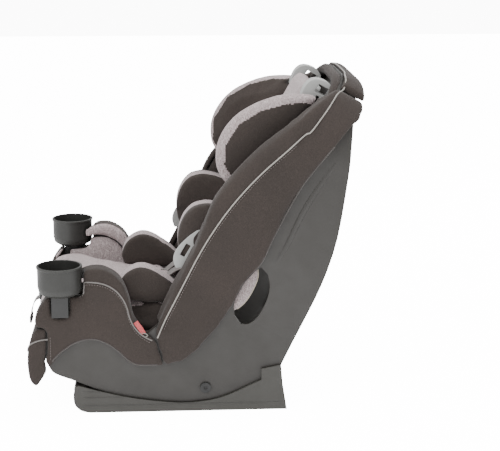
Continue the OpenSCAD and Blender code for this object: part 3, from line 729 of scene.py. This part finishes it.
def strap(name, line, width, thick, body, material, slot_name, *nodes, flat=None):
    """Webbing along a line: a grid laid on it, given its thickness and rounded selvedges."""
    across_count = 9
    bpy.ops.object.select_all(action="DESELECT")
    bpy.ops.mesh.primitive_grid_add(x_subdivisions=across_count - 1, y_subdivisions=len(line) - 1, size=2.0)
    piece = bpy.context.object
    piece.name = name
    uv = piece.data.uv_layers.active
    lengths = [0.0]
    for a, b in zip(line, line[1:]):
        lengths.append(lengths[-1] + (b - a).length)
    row_of = {}
    for vertex in piece.data.vertices:
        row = round((vertex.co.y + 1) / 2 * (len(line) - 1))
        side = vertex.co.x
        ahead = line[min(row + 1, len(line) - 1)] - line[max(row - 1, 0)]
        wide = (flat or Vector((1, 0, 0))).normalized()
        wide = (wide - ahead.normalized() * wide.dot(ahead.normalized())).normalized()
        row_of[vertex.index] = (side, lengths[row])
        vertex.co = line[row] + wide * side * width / 2
    for polygon in piece.data.polygons:
        for corner in polygon.loop_indices:
            side, along = row_of[piece.data.loops[corner].vertex_index]
            uv.data[corner].uv = (side, along)
    wall = piece.modifiers.new("thickness", "SOLIDIFY")
    wall.thickness = thick
    wall.offset = 0.0
    rim = piece.modifiers.new("selvedge", "BEVEL")
    rim.width = thick * 0.4
    rim.segments = 2
    rim.limit_method = "ANGLE"
    apply_all(piece)
    piece.data.materials.append(material)
    bpy.ops.object.shade_smooth()
    belong(piece, body, slot_name, *nodes)
    return piece


def run(across, points, steps=6):
    """A smooth line at one distance across, through places up and behind the backrest's line."""
    return smooth_line([up_back(across, s, t) for s, t in points], steps)


HARNESS_X = 0.042
WEB = 0.038
BUCKLE = Vector((0.0, -0.063, 0.206))
shoulder = [up_back(HARNESS_X, s, t) for s, t in (
    (0.384, 0.081), (0.384, 0.070), (0.382, 0.0608), (0.374, 0.0600), (0.340, 0.0600), (0.300, 0.0602),
    (0.274, 0.0560), (0.262, 0.0425), (0.250, 0.0395), (0.200, 0.0392), (0.150, 0.0392), (0.112, 0.038))]
tongue_end = BUCKLE + Vector((0.021, 0.040, 0.004))
shoulder += [shoulder[-1].lerp(tongue_end, 0.35) + Vector((0, -0.004, 0.002)),
             shoulder[-1].lerp(tongue_end, 0.72) + Vector((0, -0.003, 0.004)), tongue_end]
hip_end = up_back(0.083, 0.022, 0.038)
lap = [tongue_end, tongue_end.lerp(hip_end, 0.4) + Vector((0.004, 0.0, 0.008)),
       tongue_end.lerp(hip_end, 0.75) + Vector((0.004, 0.0, 0.006)), hip_end]
for side, end in ((1, "left"), (-1, "right")):
    flip = [Vector((p.x * side, p.y, p.z)) for p in smooth_line(shoulder, 5)]
    strap("shoulder_webbing_" + end, flip, WEB - 0.002, 0.0015, "seat", harness_web, "webbing",
          "harness_strap_" + end)
    flip = [Vector((p.x * side, p.y, p.z)) for p in smooth_line(lap, 6)]
    strap("lap_webbing_" + end, flip, WEB - 0.008, 0.0015, "seat", harness_web, "webbing",
          flat=Vector((0.55 * side, 0.75, -0.1)))
    rear = smooth_line([up_back(HARNESS_X * side, s, t) for s, t in (
        (0.384, 0.0835), (0.380, 0.0875), (0.350, 0.0885), (0.300, 0.0892), (0.262, 0.0893),
        (0.248, 0.0895))],
        5)
    strap("rear_webbing_" + end, rear, WEB - 0.002, 0.0015, "seat", harness_web, "webbing",
          *(("rear_strap",) if side > 0 else ()))
middle = smooth_line([up_back(0.0, s, t) for s, t in (
    (0.226, 0.0900), (0.200, 0.0880), (0.160, 0.0845), (0.100, 0.0838), (0.030, 0.0836), (-0.005, 0.079))]
    + [Vector((0, y, z)) for y, z in ((0.004, 0.1215), (-0.060, 0.1345), (-0.110, 0.1475), (-0.162, 0.1625),
                                      (-0.215, 0.1655), (-0.240, 0.1665))], 5)
strap("adjuster_webbing", middle, WEB - 0.004, 0.0015, "seat", harness_web, "webbing")
crotch = smooth_line([Vector((0, y, z)) for y, z in (
    (-0.096, 0.150), (-0.096, 0.175), (-0.0955, 0.192), (-0.093, 0.2005), (-0.089, 0.2045),
    (-0.084, 0.2050))], 5)
strap("crotch_webbing", crotch, WEB - 0.004, 0.0018, "seat", harness_web, "webbing", "crotch_strap")

pad_pair("harness_pad", "shoulder_pad", brown_cloth, "brown_fabric", "seat", 0.5,
         voxel=0.0025, soften=3, swell=0.003)

# ---------------------------------------------------------------------------
# Buckle, chest clip, adjuster and harness holders: hard glossy mouldings with a
# red push button. The plastic is smoother than the shell's, with fine scratches.
# ---------------------------------------------------------------------------
dark_gloss = moulded("dark_gloss", (0.012, 0.012, 0.012), rough=0.34, grain=2600.0, light=1.3)
red_gloss = moulded("red_gloss", (0.38, 0.018, 0.014), rough=0.3, grain=2600.0)
trim_plastic = moulded("pale_trim", (0.33, 0.335, 0.325), rough=0.4, grain=2200.0, light=1.35)
cup_plastic = moulded("cup_plastic", (0.020, 0.020, 0.0181), rough=0.46, grain=1800.0, light=1.3)
give(dark_gloss, "buckle_housing", "chest_clip", "adjuster_housing", "cup_bracket_left",
     "cup_bracket_right")
give(red_gloss, "buckle_button")
give(trim_plastic, "harness_holder_left", "harness_holder_right", "headrest_racks", "adjuster_button",
     "belt_guide_left", "belt_guide_right", "headrest_lever", "recline_handle")
give(cup_plastic, "cup_holder_left", "cup_holder_right")
round_edges(0.002, "chest_clip", "adjuster_housing", "headrest_lever")
round_edges(0.0008, "buckle_housing")
round_edges(0.0012, "harness_holder_left", "harness_holder_right", "cup_bracket_left",
            "cup_bracket_right", "recline_handle", "cup_holder_left", "cup_holder_right")
round_edges(0.0006, "buckle_button", "adjuster_button", "buckle_tongue_left", "buckle_tongue_right",
            "headrest_racks")
round_edges(0.0024, "belt_guide_left", "belt_guide_right")

# ---------------------------------------------------------------------------
# Adjuster tail: the free end of the harness webbing. It leaves the adjuster
# over the top of the apron and ends in a stitched tab that a parent pulls.
# ---------------------------------------------------------------------------
tail = smooth_line([Vector((0, y, z)) for y, z in (
    (-0.260, 0.1665), (-0.266, 0.1660), (-0.2715, 0.1635), (-0.2755, 0.158), (-0.2785, 0.151),
    (-0.2808, 0.143), (-0.2822, 0.134), (-0.2826, 0.125))], 4)
strap("adjuster_tail", tail, WEB - 0.008, 0.0016, "seat", harness_web, "webbing", "adjuster_strap")
tab_line = smooth_line([Vector((0, y, z)) for y, z in ((-0.2826, 0.132), (-0.2828, 0.126), (-0.2830, 0.119))],
                       4)
strap("adjuster_tab", tab_line, WEB - 0.002, 0.0042, "seat", dark_gloss, "dark_plastic",
      "adjuster_strap_end")

# ---------------------------------------------------------------------------
# Care label: a folded strip of red woven tape caught in the thigh seam, with a
# small pale loop under it. It carries no marks.
# ---------------------------------------------------------------------------
red_tape = webbing_cloth("red_tape", (0.42, 0.045, 0.05), (0.6, 0.1, 0.1))
for side, end in ((1, "left"), (-1, "right")):
    near = thigh_cloth.find_nearest(Vector((0.20, -0.078, 0.166)))[0]
    label = [Vector(((near.x + out) * side, -0.078 + y, 0.166 + z)) for out, y, z in (
        (0.0000, 0.000, 0.006), (0.0020, 0.003, 0.002), (0.0022, 0.008, -0.005), (0.0018, 0.012, -0.012),
        (0.0010, 0.014, -0.016))]
    strap("seam_label_" + end, smooth_line(label, 4), 0.009, 0.0007, "seat", red_tape, "red_tag",
          "belt_path_tag_" + end, flat=Vector((0, 0.85, 0.5)))
    loop = [Vector(((near.x + 0.002) * side, -0.068 + y, 0.152 + z)) for y, z in (
        (0.0, 0.0), (0.006, -0.001), (0.011, -0.004), (0.009, -0.007), (0.003, -0.007))]
    tube("label_loop_" + end, smooth_line(loop, 5), 0.0006, pale_piping, "seat", "red_tag")

# ---------------------------------------------------------------------------
# Belt path: the pad rolled into the opening is edged with two rows of cream
# piping, and a moulded rib runs from the opening up the rear of the shell.
# ---------------------------------------------------------------------------
roll_cloth = tree_of(path_rolls[0])
for row, x in enumerate((0.166, 0.176)):
    edge = run(x, ((0.072, 0.104), (0.080, 0.110), (0.100, 0.114), (0.125, 0.113), (0.145, 0.108),
                   (0.157, 0.098)))
    both_sides("belt_path_piping_%d" % (row + 1), lay_on(roll_cloth, edge, 0.0006), 0.0015, cream_piping,
               "seat", "heather_fabric")


def ridge(name, line, high, wide, outward, material):
    """A low moulded rib with sloping sides, tapering to nothing at both ends."""
    bpy.ops.object.select_all(action="DESELECT")
    bpy.ops.mesh.primitive_grid_add(x_subdivisions=4, y_subdivisions=len(line) - 1, size=2.0)
    piece = bpy.context.object
    piece.name = name
    last = len(line) - 1
    heights = {-2: 0.0, -1: 0.8, 0: 1.0, 1: 0.8, 2: 0.0}
    for vertex in piece.data.vertices:
        row = round((vertex.co.y + 1) / 2 * last)
        column = round(vertex.co.x * 2)
        ahead = (line[min(row + 1, last)] - line[max(row - 1, 0)]).normalized()
        taper = math.sin(math.pi * row / last) ** 0.6 if 0 < row < last else 0.0
        across = ahead.cross(outward).normalized()
        vertex.co = (line[row] + across * wide * column / 4 * (0.35 + 0.65 * taper)
                     + outward * (high * heights[column] * taper - 0.0005))
    wall = piece.modifiers.new("foot", "SOLIDIFY")
    wall.thickness = 0.0012
    wall.offset = -1.0
    apply_all(piece)
    bpy.ops.object.mode_set(mode="EDIT")
    bpy.ops.mesh.select_all(action="SELECT")
    bpy.ops.mesh.normals_make_consistent(inside=False)
    bpy.ops.object.mode_set(mode="OBJECT")
    piece.data.materials.append(material)
    bpy.ops.object.shade_smooth()
    belong(piece, "seat", "shell_plastic")
    return piece


shell_skin = tree_of(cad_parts["seat_shell"])
rib_guide = run(0.235, ((0.180, 0.118), (0.230, 0.118), (0.290, 0.114), (0.350, 0.116), (0.400, 0.121)), 10)
rib_line = []
for place in rib_guide:
    hit = shell_skin.ray_cast(Vector((0.30, place.y, place.z)), Vector((-1, 0, 0)))
    rib_line.append(hit[0])
for side, end in ((1, "left"), (-1, "right")):
    ridge("shell_rib_" + end, [Vector((p.x * side, p.y, p.z)) for p in rib_line], 0.0022, 0.012,
          Vector((side, 0, 0)), shell_plastic)

# ---------------------------------------------------------------------------
# Front edge: the seat cover's padded flap is drawn down over the rim of the
# shell and tucked behind the apron, on either side of the harness adjuster.
# ---------------------------------------------------------------------------
flap_line = smooth_line([Vector((0, y, z)) for y, z in (
    (-0.2495, 0.150), (-0.2530, 0.1620), (-0.2545, 0.1740), (-0.2510, 0.1860), (-0.2440, 0.1950),
    (-0.2340, 0.2000))], 5)
for side, end in ((1, "left"), (-1, "right")):
    middle_x = (0.029 + 0.160) / 2 * side
    flap = strap("front_flap_" + end, [Vector((middle_x, p.y, p.z)) for p in flap_line], 0.131, 0.007, "seat",
                 heather_cloth, "heather_fabric")

# ---------------------------------------------------------------------------
# Base trim: two narrow moulded ledges step round the nose and along the sides
# of the tray, and a thin foot rim runs along the bottom of each side.
# ---------------------------------------------------------------------------
tray_low, tray_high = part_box("base_tray")
tray_skin = tree_of(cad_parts["base_tray"])
for number, (z, reach_back) in enumerate(((0.0135, tray_high.y - 0.012), (0.0290, -0.100), (0.0400, -0.120))):
    half = []
    for y in [tray_low.y + 0.02 + i * (reach_back - tray_low.y - 0.02) / 12 for i in range(13)]:
        hit = tray_skin.ray_cast(Vector((0.3, y, z)), Vector((-1, 0, 0)))[0]
        if hit:
            half.append(Vector((hit.x - 0.0002, y, z)))
    nose_y = tray_skin.ray_cast(Vector((0.0, -0.3, z)), Vector((0, 1, 0)))[0].y
    corner = [Vector((0.1935, nose_y + 0.0055, z)), Vector((0.1895, nose_y + 0.0015, z)),
              Vector((0.180, nose_y + 0.0002, z))]
    side_line = list(reversed(half)) + corner
    whole = side_line + [Vector((-p.x, p.y, p.z)) for p in reversed(side_line)]
    tube("base_ledge_%d" % (number + 1), whole, 0.0011, base_plastic, "base", "base_plastic")

# ---------------------------------------------------------------------------
# Arch roll: a slim padded roll in brown cloth, sewn along the inner front edge
# of the back cover from one shoulder over the crown to the other.
# ---------------------------------------------------------------------------
ROLL_RADIUS, ROLL_ARC, ROLL_DEPTH, LEG_DEPTH = 0.010, 0.128, 0.066, 0.064
roll_line = [up_back(ARCH_ACROSS + ROLL_ARC, s, LEG_DEPTH) for s in (0.330, 0.350, 0.370)]
for turn in range(0, 91, 6):
    angle = math.radians(turn)
    roll_line.append(up_back(ARCH_ACROSS + ROLL_ARC * math.cos(angle),
                             ARCH_UP + ROLL_ARC * math.sin(angle), ROLL_DEPTH))
roll_line += [up_back(x, ARCH_UP + ROLL_ARC, ROLL_DEPTH) for x in (0.045, 0.022, 0.0)]
roll_line += [Vector((-p.x, p.y, p.z)) for p in reversed(roll_line[:-1])]
arch_roll = tube("arch_roll", roll_line, ROLL_RADIUS, brown_cloth, "seat", "brown_fabric")
